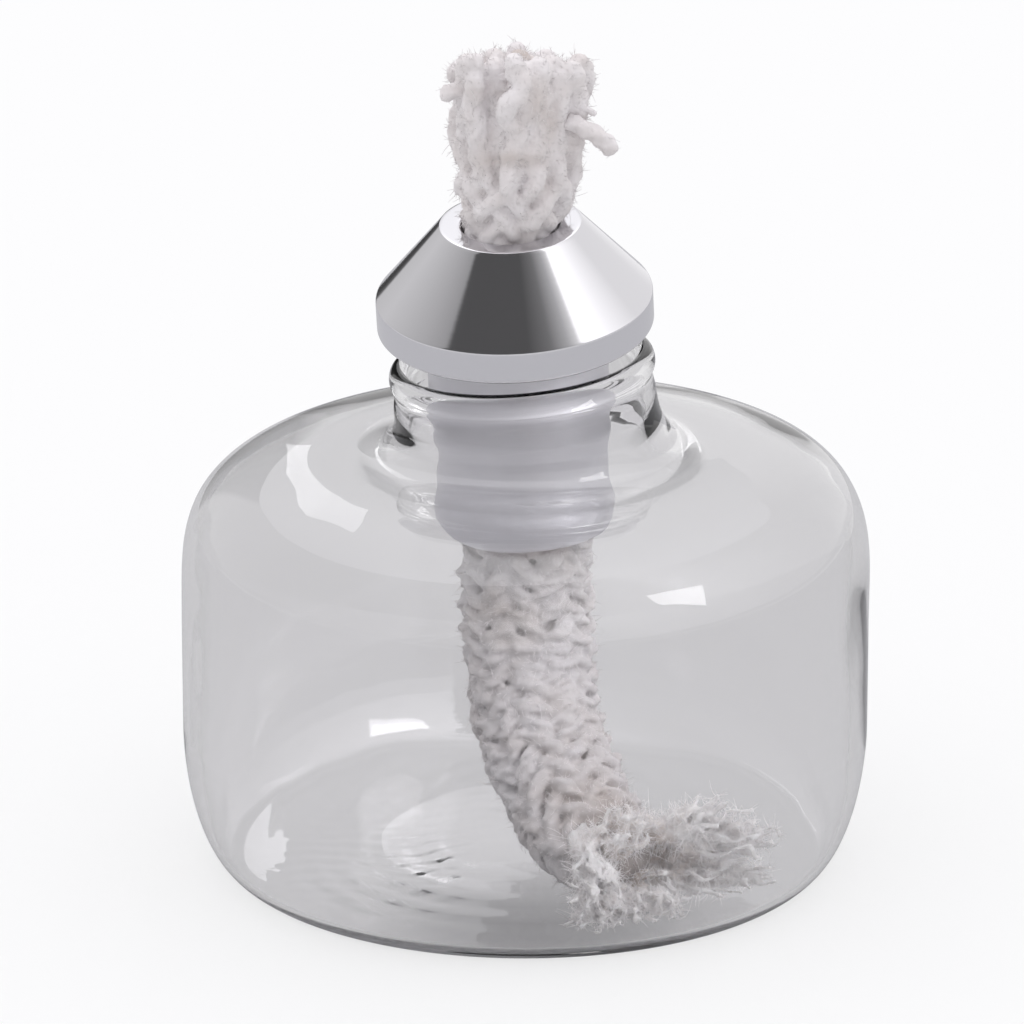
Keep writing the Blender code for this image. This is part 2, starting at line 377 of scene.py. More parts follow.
def build_glass():
    out, inn = outer_profile(), inner_profile()
    prof = np.vstack([out, inn])
    sides = 168
    v, f = ring_mesh(prof, sides, False)
    rad = np.hypot(v[:, 0], v[:, 1])
    counts = [1 if r < 1e-9 else sides for r in prof[:, 0]]
    inner = np.repeat(np.arange(len(prof)) >= len(out), counts)
    n = v.copy()
    n[:, 2] = 0
    n /= np.maximum(rad, 1e-6)[:, None]
    body = smoothstep(v[:, 2], 8, 16) * (1 - smoothstep(v[:, 2], 46, 49))
    swell_out = waves(v, 3, 8, 0.035, 0.10, 0.28) * body
    swell_in = (waves(v, 4, 10, 0.07, 0.12, 0.4) + waves(v, 5, 8, 0.02, 0.5, 1.1)) * body
    dr = np.where(inner, swell_in, swell_out)
    v += n * dr[:, None]
    # Ripples where the floor of the inside was gathered.
    floor = inner & (v[:, 2] < 6) & (rad < 32)
    turn = np.arctan2(v[:, 1], v[:, 0])
    near = np.exp(-(((v[:, 0] + 9) / 13) ** 2) - (((v[:, 1] + 13) / 9) ** 2))
    ripple = 0.19 * np.sin(rad * 1.3 + 2.4 * np.sin(turn * 3.1 + 0.6) + 0.06 * v[:, 0] ** 2 / 3) + 0.075 * np.sin(v[:, 1] * 2.4 + 1.8 * np.sin(v[:, 0] * 0.35))
    v[:, 2] += np.where(floor, ripple * (0.10 + 0.90 * near) * smoothstep(rad, 3, 12) * (1 - smoothstep(rad, 26, 32)), 0)
    v = lean(v)
    obj = link("glass_body", v * MM, f, glass)
    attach(obj, "reservoir")
    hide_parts("glass_reservoir")
    return obj


# ------------------------------------------------------------------- holder
HOLDER_AT = Vector((-0.00123, -0.0008, 0.0650))
TIP = Matrix.Rotation(-math.radians(2.8), 4, "Y") @ Matrix.Rotation(math.radians(8.8), 4, "X")
PLACE = Matrix.Translation(HOLDER_AT) @ TIP
MOUTH, SOLE = 7.67, -4.25 - 22.8


def in_holder(x, y, z):
    p = PLACE @ Vector((x * MM, y * MM, z * MM))
    return np.array(p) / MM


def arc(cx, cz, r, a0, a1, count):
    t = np.radians(np.linspace(a0, a1, count))
    return np.stack([cx + r * np.cos(t), cz + r * np.sin(t)], 1)


def build_holder():
    prof = np.vstack(
        [
            [[5.35, 6.9], [5.35, 7.3]],
            arc(5.62, 7.40, 0.27, 180, 90, 5),
            [[5.9, 7.67], [7.3, 7.67]],
            [[7.62, 7.66]],
            resample([[7.68, 7.62], [14.70, -0.51]], 0.35),
            arc(14.35, -1.023, 0.6, 40.75, 0, 9),
            [[14.95, -2.0], [14.95, -3.0], [14.95, -3.75]],
            arc(14.65, -3.95, 0.30, 0, -90, 7),
            [[13.5, -4.25], [11.5, -4.25], [10.1, -4.25]],
            arc(10.1, -4.55, 0.30, 90, 180, 5),
            resample([[9.8, -5.0], [9.8, -26.5]], 1.5),
            arc(9.45, -26.7, 0.35, 0, -90, 6),
            [[8.9, -27.05], [8.4, -27.05], [8.3, -26.9], [8.3, -20.0], [8.3, -4.2], [8.1, -3.6], [5.6, 0.7], [5.35, 1.3], [5.35, 4.0]],
        ]
    )
    v, f = ring_mesh(prof, 160, True)
    obj = link("wick_holder", v * MM, f, metal)
    # The sleeve gets a rougher copy of the aluminium with a darker base colour: the rougher finish dulls it, and the
    # darker colour is painted shade that keeps it greyer than the cone and the rim.
    obj.data.materials.append(sleeve_metal_shaded)
    deep = [float(np.mean([v[q, 2] for q in face])) < -4.7 for face in f]
    obj.data.polygons.foreach_set("material_index", np.array(deep, np.int32))
    obj.data.set_sharp_from_angle(angle=math.radians(38))
    obj.matrix_world = PLACE
    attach(obj, "holder")
    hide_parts("burner_holder")
    return obj


# --------------------------------------------------------------------- wick
TAIL = [
    (0.10, 3.3, 33.5),
    (0.20, 2.9, 27.5),
    (0.50, 1.6, 21.5),
    (1.50, -1.9, 15.6),
    (4.00, -8.0, 10.6),
    (7.60, -14.2, 8.2),
    (12.00, -19.4, 7.4),
]
TUFT_RISE = 20.8


def centre_line():
    tail = [np.array(p) for p in TAIL][::-1]
    up = [in_holder(0, 0, z) for z in (SOLE - 1.4, SOLE + 6, -12, -2, MOUTH)]
    axis = in_holder(0, 0, 1) - in_holder(0, 0, 0)
    lift = np.array([-0.01, -0.05, 1.0])
    lift /= np.linalg.norm(lift)
    tuft = []
    for share, side in ((0.16, 0.5), (0.34, 1.0), (0.56, 1.2), (0.76, 1.4), (1.0, 1.4)):
        w = 0.6 * float(smoothstep(share, 0.05, 0.4))
        d = axis * (1 - w) + lift * w
        d /= np.linalg.norm(d)
        tuft.append(in_holder(0, 0, MOUTH) + d * TUFT_RISE * share + np.array([side, 0, 0]))
    return resample(smooth_curve(tail + up + tuft), 0.25)


LINE = centre_line()
LS = np.r_[0, np.cumsum(np.linalg.norm(np.diff(LINE, axis=0), axis=1))]
LT, LN, LB = frames_along(LINE)
FULL = LS[-1]
S_SOLE = LS[np.argmin(np.linalg.norm(LINE - in_holder(0, 0, SOLE), axis=1))]
S_MOUTH = LS[np.argmin(np.linalg.norm(LINE - in_holder(0, 0, MOUTH), axis=1))]


def at(s, r, th):
    """The point at arc length s along the wick, r from its middle at angle th. s may run past either end."""
    s = np.asarray(s, float)
    sc = np.clip(s, 0, FULL)
    c = np.stack([np.interp(sc, LS, LINE[:, k]) for k in range(3)], -1)
    n = np.stack([np.interp(sc, LS, LN[:, k]) for k in range(3)], -1)
    b = np.stack([np.interp(sc, LS, LB[:, k]) for k in range(3)], -1)
    c = c + np.where(s < 0, s, 0)[:, None] * LT[0] + np.where(s > FULL, s - FULL, 0)[:, None] * LT[-1]
    return c + n * (r * np.cos(th))[:, None] + b * (r * np.sin(th))[:, None]


def girth(s):
    """How far the rope is squeezed or swells, as a share of its free radius."""
    s = np.asarray(s, float)
    grip = smoothstep(s, S_SOLE + 0.5, S_SOLE + 9) * (1 - smoothstep(s, S_MOUTH - 0.3, S_MOUTH + 5.5))
    return 1 - 0.29 * grip + 0.13 * smoothstep(s, S_MOUTH + 4, S_MOUTH + 10)


LEAD = 38.0
CARRIERS = 12
YARN_R = 0.98
R_MID = 5.30
SWING = 0.78
COLUMN = 1.5
BRAID_LO, BRAID_HI = 6.0, S_MOUTH + 6.0
FLOOR_TOP = 2.0
# Middle of the hollow in the frayed end, where its painted shade is strongest.
HOLLOW = np.array([11.0, -18.0, 7.0])


def settle(p, clear=None):
    """Keeps the loose lower end on the glass floor and inside its wall. clear is the room it needs, in mm: a yarn's radius."""
    z = p[:, 2]
    low = 1 - smoothstep(z, 14, 20)
    r = np.hypot(p[:, 0], p[:, 1])
    if clear is None:
        floor, wall, inset = FLOOR_TOP + YARN_R + 8.5 * smoothstep(r, 26, 37) ** 2, 33.4, 3.4
    else:
        over = np.clip((r - 31.0) / 3.9, 0, 0.98)
        floor, wall, inset = FLOOR_TOP + clear + 13.9 * (1 - (1 - over**1.9) ** (1 / 1.9)), 35.0 - clear, 1.9
    soft = 1.5
    z2 = np.where(z < floor + soft, floor + soft * np.exp(np.minimum((z - floor - soft) / soft, 0)), z)
    z = z + (z2 - z) * low
    most = wall - inset * (1 - smoothstep(z, 3 if clear is None else 2, 12 if clear is None else 9))
    lim = most - 1.5 + 1.5 * (1 - np.exp(-np.maximum(r - most + 1.5, 0) / 1.5))
    k = 1 + (np.where(r > most - 1.5, lim / np.maximum(r, 1e-6), 1) - 1) * low
    return np.stack([p[:, 0] * k, p[:, 1] * k, z], 1)


def press(p, s):
    """The rope's end lies flattened on the floor."""
    w = 1 - smoothstep(s, 1.0, 17.0)
    z = p[:, 2]
    return np.stack([p[:, 0], p[:, 1], z - 0.36 * w * (z - FLOOR_TOP)], 1)


def yarn_radius(n):
    """Cut yarn ends: a little swollen, then rounded off."""
    e = np.arange(n)
    ends = np.minimum(e, n - 1 - e)
    return (0.60 + 0.40 * np.minimum(1, ends / 2.6) ** 0.5) * (1 + 0.10 * np.exp(-ends / 5.0))


LUMP_K = rng.normal(size=(26, 3))
LUMP_K *= (rng.uniform(1.6, 5.2, 26) / np.linalg.norm(LUMP_K, axis=1))[:, None]
LUMP_P = rng.uniform(0, 2 * np.pi, 26)


def lumps(v):
    """Smooth unevenness of soft yarn, about -1 to 1, for points in mm."""
    return np.cos(v @ LUMP_K.T + LUMP_P).sum(1) / math.sqrt(26)


def depth_shade(v, thick):
    """How much painted shade the cotton gets at points v, darker and browner where it lies deep among the yarns: 0 at
    the rope's surface, up to 0.5 deep inside it.
    """
    depth = np.empty(len(v))
    for k in range(0, len(v), 4000):
        depth[k : k + 4000] = np.sqrt(((v[k : k + 4000, None] - LINE[None, ::2]) ** 2).sum(-1).min(1))
    return np.clip((thick - depth) / 2.6, 0, 1) * 0.5


def tube_normals(v, rings_of):
    n = v - rings_of
    return n / np.maximum(np.linalg.norm(n, axis=1), 1e-9)[:, None]


def soft_tube(path, rad, spin, amp=0.10, sides=12):
    """A plied, uneven yarn: its points, faces and normals."""
    v, f = tube(path, rad, sides, 3, 1.25 * spin, 0.13, float(rng.uniform(0, 6)))
    mids = np.repeat(path, sides, axis=0)
    mids = np.vstack([mids, path[:1], path[-1:]])
    out = v - mids
    v = v + out * (amp * lumps(v))[:, None]
    return v, f, tube_normals(v, mids)


def plied(path, rad, spin, spread=0.0, amp=0.10, sides=7, count=3):
    """A yarn as three plies wound round each other; spread, in mm, is how far they part toward the path's end."""
    _, a, b = frames_along(path)
    s = np.r_[0, np.cumsum(np.linalg.norm(np.diff(path, axis=0), axis=1))]
    rad = np.broadcast_to(np.asarray(rad, float), (len(path),))
    apart = smoothstep(s, 0.15 * s[-1], s[-1])
    wound = s if spread == 0 else np.minimum(s, 0.5 * s[-1])
    first = rng.uniform(0, 2 * np.pi)
    made = []
    for k in range(count):
        turn = first + 2 * np.pi * k / count + spin * wound * 2 * np.pi / 7.0
        off = 0.52 * rad + spread * apart * rng.uniform(-0.3, 1.7)
        w = rng.uniform(0, 6, 2)
        q = path + a * (off * np.cos(turn) + 0.06 * np.sin(1.9 * s + w[0]))[:, None] + b * (off * np.sin(turn) + 0.06 * np.sin(2.3 * s + w[1]))[:, None]
        if spread > 0:
            curl = rng.normal(size=(2, 3)) * 0.28
            q = q + (apart**0.6)[:, None] * (curl[0] * np.sin(0.9 * s + w[0])[:, None] + curl[1] * np.sin(2.1 * s + w[1])[:, None])
        thin = (0.56 + 0.10 * (spread > 0)) * rad * math.sqrt(3 / count) * (1 - 0.5 * apart * (spread > 0)) * (1 + 0.08 * np.sin(1.3 * s + w[1]))
        if spread > 0:
            last = len(q) - int(rng.integers(0, max(1, len(q) // 3)))
            q, thin = settle(q[:last], 0.4), thin[:last]
        v, f = tube(q, thin, sides)
        mids = np.vstack([np.repeat(q, sides, axis=0), q[:1], q[-1:]])
        out = v - mids
        v = v + out * (amp * lumps(v))[:, None]
        made.append((v, f, tube_normals(v, mids)))
    return made


# The tuft's uneven top: how high it reaches, in mm, at each x. It is measured square to a line of sight 19 degrees down.
CROWN = (
    (-8.2, 47.8), (-7.2, 48.8), (-4.8, 49.1), (-4.4, 49.7), (-2.7, 49.8), (-2.3, 50.7), (-1.0, 50.7), (-0.6, 49.6),
    (0.2, 49.3), (0.7, 49.8), (2.1, 49.7), (2.7, 48.9), (6.4, 49.0), (8.2, 48.2),
)
SIN19, COS19 = math.sin(math.radians(19)), math.cos(math.radians(19))


def seen_height(p):
    return SIN19 * p[:, 1] + COS19 * (p[:, 2] - 39.07)


def painted_cleft_shade(v):
    """Painted shade, a faint beige darkening, in the tuft's cleft and in the crease below it."""
    up, x = seen_height(v), v[:, 0]
    front = smoothstep(-v[:, 1], -1, 3)
    return front * (0.30 * np.exp(-(((x - 1.9) / 1.4) ** 2) - ((up - 42.8) / 2.8) ** 2) + 0.34 * np.exp(-(((x + 1.6) / 2.8) ** 2) - ((up - 37.3) / 0.8) ** 2))


def rope_beige_tone(v):
    """A faint beige darkening on the front of the hanging rope, strongest near its top on the left, and a little uneven
    tone all over.
    """
    front = smoothstep(-v[:, 1], 0, 4)
    patch = 0.30 * np.exp(-(((v[:, 0] + 2.6) / 2.8) ** 2) - ((v[:, 2] - 29.5) / 3.2) ** 2)
    return front * patch + 0.09 * lumps(v * 0.16)


def loose_end(base, heading, turn, length, lift=0.0, droop=0.0):
    """The middle of a frayed yarn that leaves the rope at base with heading and bends toward turn."""
    n = max(6, int(length / 0.4))
    step = length / (n - 1)
    out, p = [], np.array(base, float)
    a, b = np.array(heading, float), np.array(turn, float)
    a, b = a / np.linalg.norm(a), b / np.linalg.norm(b)
    w0 = rng.uniform(0, 6, 2)
    for i in range(n):
        u = i / (n - 1)
        w = float(smoothstep(u, 0.0, 0.75))
        d = a * (1 - w) + b * w + np.array([0, 0, lift * u * u - droop * u])
        d += 0.22 * np.array([math.sin(i * 0.5 + w0[0]), math.cos(i * 0.43 + w0[1]), math.sin(i * 0.37 + w0[1])])
        d /= np.linalg.norm(d)
        p = p + d * step
        out.append(p.copy())
    return np.array(out)


def braid_yarn(direction, i):
    """The middle of one yarn of the braid with its own ends, its arc lengths, and the rope's middle beside each."""
    lo = rng.uniform(2.0, 4.5)
    s = np.arange(lo, FULL + 4.0, 0.36)
    keep = smoothstep(s, BRAID_LO - 3.5, BRAID_LO + 1.5) * (1 - smoothstep(s, BRAID_HI - 4, BRAID_HI + 4))
    turn = np.cumsum(np.gradient(s) * keep) * 2 * math.pi / LEAD
    turn -= np.interp(30.0, s, turn)
    th = 2 * math.pi * i / CARRIERS + direction * turn
    over = direction * np.cos(2 * math.pi * (th / (math.pi / CARRIERS) + COLUMN) / 4)
    over = np.tanh(1.5 * over) / math.tanh(1.5)
    g = girth(s)
    r = (R_MID + SWING * over * keep) * g
    w = rng.uniform(0, 2 * np.pi, 5)
    th = th + 0.05 * np.sin(s * 0.55 + w[0]) + 0.035 * np.sin(s * 1.3 + w[1])
    r = r + 0.17 * np.sin(s * 0.7 + w[2]) * g
    top = smoothstep(s, BRAID_HI - 2, FULL)
    r = r + top * rng.uniform(-1.6, 1.1) + 0.45 * top * np.sin(s * 0.7 + w[3])
    th = th + top * rng.normal(0, 0.16) + 0.10 * top * np.sin(s * 0.9 + w[4])
    # A cleft in the front of the tuft, a little right of its middle.
    cleft = np.exp(-(((s - FULL + 8.0) / 4.0) ** 2)) * np.exp(-((np.angle(np.exp(1j * (th + 1.25))) / 0.36) ** 2))
    r = r - 1.5 * cleft
    crease = np.exp(-(((s - S_MOUTH - 8.9) / 0.8) ** 2)) * np.exp(-((np.angle(np.exp(1j * (th + 1.85))) / 0.55) ** 2))
    fold = np.exp(-(((s - S_MOUTH - 6.6) / 1.2) ** 2)) * np.exp(-((np.angle(np.exp(1j * (th + 1.85))) / 0.7) ** 2))
    r = r - 1.2 * crease + 0.5 * fold
    p = settle(press(at(s, r, th), s))
    drop = float(rng.uniform(0.0, 2.6)) * float(smoothstep(-p[-1, 1], 0.0, 4.0)) * float(1 - smoothstep(abs(p[-1, 0]), 4.0, 6.0))
    tall = (s < S_MOUTH + 8) | (seen_height(p) < np.interp(p[:, 0], *zip(*CROWN)) - 0.55 - drop)
    last = len(s) if tall.all() else int(np.argmin(tall))
    p, s, th = p[:last], s[:last], th[:last]
    return p, s, settle(press(at(s, 0 * s, th), s))


def assemble(name, parts, mat):
    heap = Heap()
    for v, f, shade in parts:
        heap.add(v, f, shade)
    return heap.make(name, mat)


def build_wick():
    tuft, core = Heap(), Heap()
    loose, braid = Heap(), Heap()
    rope, skins, tail_skins = [], [], []
    out_dir = -LT[0]
    right, down = LN[0], LB[0]
    for direction in (1, -1):
        for i in range(CARRIERS):
            p, s, c = braid_yarn(direction, i)
            size = rng.uniform(0.92, 1.08) * YARN_R
            rad = size * (1 + 0.20 * smoothstep(s, BRAID_HI, BRAID_HI + 6)) * yarn_radius(2 * len(p))[len(p):]
            cut = int(np.searchsorted(s, S_MOUTH - 2.5))
            hid = int(np.searchsorted(s, S_SOLE + 1.5))
            for v, f, n in plied(p[: hid + 1], rad[: hid + 1] * 1.04, direction, amp=0.14):
                braid.add(v, f)
            v, f, n = soft_tube(p[hid : cut + 1], rad[hid : cut + 1], direction, sides=8)
            # Painted shade: the rope inside the sleeve is coloured a little darker.
            rope.append((v, f, 0.2))
            v, f, n = soft_tube(p[cut:], rad[cut:], direction, amp=0.10)
            tuft.add(v, f)
            # The frayed lower end, which goes on from the rope.
            side = p[0] - c[0]
            side /= np.linalg.norm(side)
            a_right, a_down = float(side @ right), float(side @ down)
            if a_right > 0.25:
                length = rng.uniform(9.5, 16.5) * (0.75 + 0.25 * a_right)
                goal = np.array([0.92, -0.22 + rng.normal(0, 0.32), 0.20 - 0.40 * a_down + rng.normal(0, 0.16)])
            elif a_down < -0.5:
                length = rng.uniform(4.5, 8.5)
                goal = np.array([0.66 + rng.normal(0, 0.18), -0.20 + rng.normal(0, 0.2), 0.52 + rng.normal(0, 0.18)])
            elif a_down > 0.4:
                length = rng.uniform(9.0, 15.0)
                goal = np.array([0.42 + rng.normal(0, 0.40), -0.90 + rng.normal(0, 0.12), -0.16])
            else:
                length = rng.uniform(6.0, 11.0)
                goal = np.array([0.02 + rng.normal(0, 0.2), -0.92, -0.25])
            q = loose_end(p[0], out_dir + 0.35 * side, goal + 0.22 * side, length, lift=rng.uniform(-0.1, 0.2), droop=0.08)
            whole = resample(settle(np.vstack([p[4:0:-1], p[:1], q]), 0.9), 0.36)
            for v, f, n in plied(whole, size * 1.26, direction, spread=float(rng.uniform(0.7, 1.9)), amp=0.14, sides=7, count=9):
                loose.add(v, f)
    # Filler yarns run straight through the middle of the braid.
    spots = [(0.0, 0.0)] + [(2.05, 2 * math.pi * k / 6 + 0.2) for k in range(6)] + [(3.75, 2 * math.pi * k / 11) for k in range(11)]
    for r0, th0 in spots:
        lo = rng.uniform(2.5, 5.5)
        s = np.arange(lo, FULL + 4.0, 0.6)
        g = girth(s)
        w = rng.uniform(0, 6, 3)
        r = r0 * g * (0.95 + 0.05 * np.sin(s * 0.5 + w[0]))
        top = smoothstep(s, BRAID_HI - 2, FULL)
        r = r * (1 + top * rng.uniform(0.1, 0.35)) + top * rng.uniform(0, 0.5)
        bottom = 1 - smoothstep(s, -4, BRAID_LO)
        r = r + bottom * rng.uniform(0, 1.2)
        th = th0 + 0.02 * s + 0.12 * np.sin(s * 0.4 + w[1]) + bottom * rng.normal(0, 0.3)
        p = settle(press(at(s, r, th), s))
        tall = (s < S_MOUTH + 8) | (seen_height(p) < np.interp(p[:, 0], *zip(*CROWN)) - 0.8 - rng.uniform(0, 1.5))
        last = len(s) if tall.all() else int(np.argmin(tall))
        p, s, top = p[:last], s[:last], top[:last]
        rad = 1.12 * (1 + 0.14 * top) * yarn_radius(len(p))
        cut = int(np.searchsorted(s, S_MOUTH - 2.5))
        v, f, _ = soft_tube(p[: cut + 1], rad[: cut + 1], 1, sides=10)
        # Painted shade: the fillers deep in the braid's middle are coloured much darker.
        core.add(v, f, 0.62)
        v, f, _ = soft_tube(p[cut:], rad[cut:], 1)
        tuft.add(v, f)
    s = np.arange(S_MOUTH - 2.0, FULL - 3.2, 0.6)
    tuft.add(*tube(at(s, 0 * s, 0 * s), 5.2 * girth(s) * (1 - 0.12 * smoothstep(s, FULL - 8, FULL - 3)), 20))
    stubs = Heap()
    for pts, rad in STRAYS:
        p = resample(smooth_curve(np.array(pts)), 0.35)
        v, f, _ = soft_tube(p, yarn_radius(2 * len(p))[len(p):] * rad, 1)
        stubs.add(v, f)
    v, f, shade, n = stubs.skin(0.21, 2, 0.075, 3.4)
    skins.append((v, n, 160))
    strays = assemble("wick_stray_ends", [(v, f, shade)], cotton)
    v, f, shade, n = tuft.skin(0.21, 4, 0.06, 3.4, stretch=0.45)
    above = v[:, 2] > in_holder(0, 0, MOUTH)[2] + 0.6
    skins.append((v[above], n[above], 5200))
    s = np.arange(1.0, S_SOLE + 1.0, 0.6)
    middle = settle(press(at(s, 0 * s, 0 * s), s))
    braid.add(*tube(middle, 5.05 * girth(s) * (0.55 + 0.45 * smoothstep(s, 0, 8)), 20))
    bv, bf, bshade, bn = braid.skin(0.21, 2, 0.05, 6.0)
    skins.append((bv, bn, 9000))
    rope.append((bv, bf, bshade + rope_beige_tone(bv)))
    obj = assemble("wick_braid", rope + [(v, f, shade)], cotton)
    obj.data.materials.append(rope_cotton_shaded)
    lower = sum(len(g) for _, g, _ in rope)
    obj.data.polygons.foreach_set("material_index", [1] * lower + [0] * (len(obj.data.polygons) - lower))
    v, f, shade, n = loose.skin(0.2, 4, 0.05, 0.0)
    # Painted shade: the hollow in the middle of the frayed end is coloured darker and browner.
    shade = shade + 0.75 * np.clip(1.25 - np.linalg.norm((v - HOLLOW) * np.array([1, 0.8, 1]), axis=1) / 4.6, 0, 1)
    tail_skins.append((v, n, 15000))
    ends = assemble("wick_frayed_end", [(v, f, shade)], frayed_cotton_lit)
    heart = core.make("wick_fillers", rope_cotton_shaded)
    fuzz = build_fuzz("wick_fuzz", skins, fibre)
    tail_fuzz = build_fuzz("wick_tail_fuzz", tail_skins, rope_fibre_lit, 1.6)
    for piece in (obj, ends, strays, heart, fuzz, tail_fuzz):
        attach(piece, "wick")
    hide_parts("wick_core", "wick_tail", "wick_tuft")
    return obj


# Yarn ends that stand out sideways from the tuft: the points of each one's middle, in mm, and its radius.
STRAYS = (
    ([(-3.5, -6.0, 87.0), (-5.2, -6.6, 88.2), (-6.8, -6.8, 88.5), (-8.9, -6.8, 87.9)], 0.92),
    ([(4.5, -6.0, 85.0), (6.2, -6.4, 84.4), (8.0, -6.6, 83.2), (9.3, -6.6, 81.6)], 0.98),
    ([(4.6, -5.0, 86.8), (6.4, -5.2, 86.2), (7.5, -5.3, 85.4)], 0.42),
    ([(-4.5, -5.0, 83.5), (-6.2, -5.6, 84.8), (-7.2, -5.8, 85.2)], 0.95),
)


def build_fuzz(name, skins, mat, longer=1.0):
    """Short loose fibres all over the cotton."""
    heap = Heap()
    for v, normal, count in skins:
        for i in rng.integers(0, len(v), count):
            length = longer * (float(rng.uniform(0.15, 0.45)) if rng.random() < 0.96 else float(rng.uniform(0.45, 0.8)))
            u = np.linspace(0, 1, 5)[:, None]
            lean_by = rng.normal(size=3) * 0.75
            q = v[i] - normal[i] * 0.05 + u * length * (normal[i] * 0.5 + lean_by) + (u**2) * rng.normal(size=3) * 0.7 * length
            if q[:, 2].min() < 2.5:
                continue
            heap.add(*tube(q, np.linspace(0.045, 0.015, 5), 3, caps=False), 0.0)
    return heap.make(name, mat)


build_glass()
build_holder()
build_wick()

for name, mat in (
    ("glass_reservoir", glass),
    ("burner_holder", metal),
    ("wick_core", cotton),
    ("wick_tail", rope_cotton_shaded),
    ("wick_tuft", cotton),
):
    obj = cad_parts.get(name)
    if obj is not None:
        obj.data.materials.clear()
        obj.data.materials.append(mat)


# -------------------------------------------------------------------- stage
def stage_material(name, colour, roughness=1.0, glow=0.0):
    mat, tree, bsdf = new_material(name)
    bsdf.inputs["Emission Color"].default_value = (1, 1, 1, 1)
    bsdf.inputs["Emission Strength"].default_value = glow
    bsdf.inputs["Base Color"].default_value = (*colour, 1)
    bsdf.inputs["Roughness"].default_value = roughness
    bsdf.inputs["Specular IOR Level"].default_value = 0.0
    return mat


floor = link("floor", [(-3, -3, -0.00006), (3, -3, -0.00006), (3, 3, -0.00006), (-3, 3, -0.00006)], [(0, 1, 2, 3)], stage_material("pale_floor", (0.24, 0.24, 0.243), glow=0.67), False)
floor.visible_transmission = False
# What shows through the glass: the same table, a little greyer, and darker in the lamp's own shadow.
table = link("grey_table", [(-3, -3, -0.00006), (3, -3, -0.00006), (3, 3, -0.00006), (-3, 3, -0.00006)], [(0, 1, 2, 3)], stage_material("grey_table_surface", (0.18, 0.178, 0.182), glow=0.48), False)
tree = table.data.materials[0].node_tree
away = node(tree, "ShaderNodeVectorMath", operation="DISTANCE")
tree.links.new(node(tree, "ShaderNodeTexCoord").outputs["Object"], away.inputs[0])
away.inputs[1].default_value = (0.001, -0.029, 0.0)
shadow = node(tree, "ShaderNodeMapRange", interpolation_type="SMOOTHSTEP")
tree.links.new(away.outputs["Value"], shadow.inputs["Value"])
shadow.inputs["From Min"].default_value = 0.002
shadow.inputs["From Max"].default_value = 0.030
shadow.inputs["To Min"].default_value = 0.20
shadow.inputs["To Max"].default_value = 0.48
tree.links.new(shadow.outputs["Result"], tree.nodes["Principled BSDF"].inputs["Emission Strength"])
table.visible_camera = table.visible_diffuse = table.visible_glossy = table.visible_shadow = False


LAMP = Vector((0.0, 0.0, 0.06))


def toward(azimuth, elevation, distance):
    """A point seen from the lamp: azimuth 0 is the camera's side and grows to the right."""
    a, e = math.radians(azimuth), math.radians(elevation)
    return LAMP + distance * Vector((math.sin(a) * math.cos(e), -math.cos(a) * math.cos(e), math.sin(e)))


# What the bright metal mirrors, by azimuth: a black flag in front, a softbox on the right and paler walls round the rest.
ROUND = (
    (-180, 0.95), (-174, 0.90), (-171, 0.05), (-158, 0.06), (-153, 0.12), (-150, 0.60), (-128, 0.66), (-106, 0.58), (-82, 0.47), (-63, 0.36), (-59, 0.085),
    (8, 0.085), (28, 0.18), (44, 0.44), (53, 0.74), (56, 1.42), (70, 1.40), (89, 1.14), (114, 0.86), (149, 0.86), (172, 1.00), (180, 0.95),
)
MIDDLE = ((-180, -14), (-154, 1), (-142, 9), (-121, 19), (-98, 28), (-73, 36), (-45, 42), (0, 46), (39, 46), (70, 42), (98, 35), (122, 25), (142, 14), (160, 8), (180, -10))


def surround():
    """A curved screen that only the metal and the outside of the glass mirror."""
    az = np.unique(np.r_[np.arange(-180, 181, 2.0), [a for a, _ in ROUND]])
    glow = np.interp(az, *zip(*ROUND))
    mid = np.interp(az, *zip(*MIDDLE))
    verts, faces, tone = [], [], []
    rows = (-24, -12, 0, 12, 24)
    for a, m, g in zip(az, mid, glow):
        for d in rows:
            verts.append(toward(a, m + d, 0.55))
            tone.append(g)
    k = len(rows)
    for i in range(len(az) - 1):
        for j in range(k - 1):
            faces.append((i * k + j, i * k + j + 1, (i + 1) * k + j + 1, (i + 1) * k + j))
    mat, tree, bsdf = new_material("surround_surface")
    bsdf.inputs["Base Color"].default_value = (0, 0, 0, 1)
    bsdf.inputs["Specular IOR Level"].default_value = 0.0
    bsdf.inputs["Emission Color"].default_value = (1.0, 0.99, 1.0, 1)
    glow_node = node(tree, "ShaderNodeAttribute", attribute_name="glow")
    tree.links.new(glow_node.outputs["Fac"], bsdf.inputs["Emission Strength"])
    obj = link("surround", verts, faces, mat, False)
    layer = obj.data.attributes.new("glow", "FLOAT", "POINT")
    layer.data.foreach_set("value", np.array(tone, np.float32))
    obj.visible_camera = obj.visible_diffuse = obj.visible_transmission = obj.visible_shadow = False


surround()


def through_glass_only(obj):
    """Only the glass, and what stands inside it, sees this panel."""
    obj.visible_camera = obj.visible_diffuse = obj.visible_glossy = obj.visible_shadow = False
    obj.visible_transmission = True
    return obj


EYE = np.array([-1.414, -800 * COS19, 39.07 + 800 * SIN19])


def sight(x, y):
    """The way of the sight line through the view's point x, y (0 to 1024)."""
    way = np.array([(x - 525) / 7355, COS19, -SIN19]) - (y - 512) / 7355 * np.array([0, SIN19, COS19])
    return way / np.linalg.norm(way)


